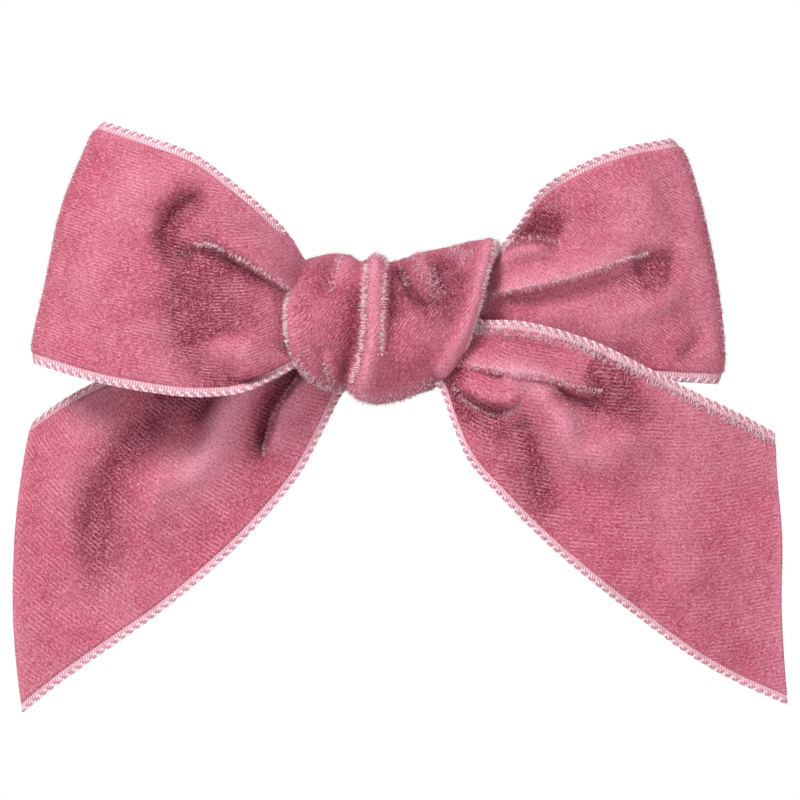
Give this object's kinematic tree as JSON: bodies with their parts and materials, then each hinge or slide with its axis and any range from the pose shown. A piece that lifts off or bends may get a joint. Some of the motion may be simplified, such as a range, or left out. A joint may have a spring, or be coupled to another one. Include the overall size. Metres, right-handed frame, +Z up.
{
  "type": "bow barrette",
  "caption": "Hand-tied velvet ribbon bow with loops, knot and slant-cut tails, on a sprung metal hair barrette whose clamp bar swings open at one end.",
  "frame": {"origin": "middle of the hair channel, halfway between the tension bow and the clamp bar, behind the middle of the bow", "axes": "as worn: -Y is the way the front of the bow faces, +Y points to the wearer's head, +X to the right as the bow is looked at, +Z up"},
  "size_m": [0.1234, 0.033, 0.0943],
  "materials": {
    "velvet": "short-pile velvet ribbon, dusty pink, with a paler woven selvedge along both edges",
    "nickel_plate": "nickel-plated pressed steel sheet, satin, with fine rolling marks",
    "spring_steel": "nickel-plated spring steel strip, slightly darker than the base plate",
    "thread": "twisted polyester sewing thread, matched to the ribbon",
    "glue": "hot-melt adhesive, translucent cream, smooth"
  },
  "bodies": {
    "clip_base": {"base_plate": "nickel_plate", "hinge_pin": "nickel_plate", "latch_yoke": "spring_steel", "latch_rivet": "nickel_plate", "glue_pad": "glue", "binding_thread_left": "thread", "binding_thread_right": "thread", "knot": "velvet", "left_loop": "velvet", "right_loop": "velvet", "left_tail": "velvet", "right_tail": "velvet"},
    "clamp": {"clamp_bar": "nickel_plate"},
    "tension": {"tension_bow": "spring_steel"},
    "prong_upper": {"latch_prong_upper": "spring_steel"},
    "prong_lower": {"latch_prong_lower": "spring_steel"}
  },
  "joints": [
    {"name": "clamp_hinge", "type": "hinge", "parent": "clip_base", "child": "clamp", "pos_m": [-0.033, 0.00241, 0], "axis": [0, 0, 1], "range_deg": [0, 75]},
    {"name": "tension_flex", "type": "hinge", "parent": "clip_base", "child": "tension", "pos_m": [-0.028, -0.00477, 0], "axis": [0, 0, -1], "range_deg": [0, 1.1], "stiffness_Nm_per_rad": 1.5},
    {"name": "latch_squeeze_upper", "type": "hinge", "parent": "clip_base", "child": "prong_upper", "pos_m": [0.033, -0.00255, 0.00335], "axis": [-1, 0, 0], "range_deg": [0, 7], "stiffness_Nm_per_rad": 0.001},
    {"name": "latch_squeeze_lower", "type": "hinge", "parent": "clip_base", "child": "prong_lower", "pos_m": [0.033, -0.00255, -0.00335], "axis": [1, 0, 0], "range_deg": [0, 7], "stiffness_Nm_per_rad": 0.001}
  ],
  "couplings": [
    {"joint": "latch_squeeze_lower", "follows": "latch_squeeze_upper", "ratio": 1}
  ]
}
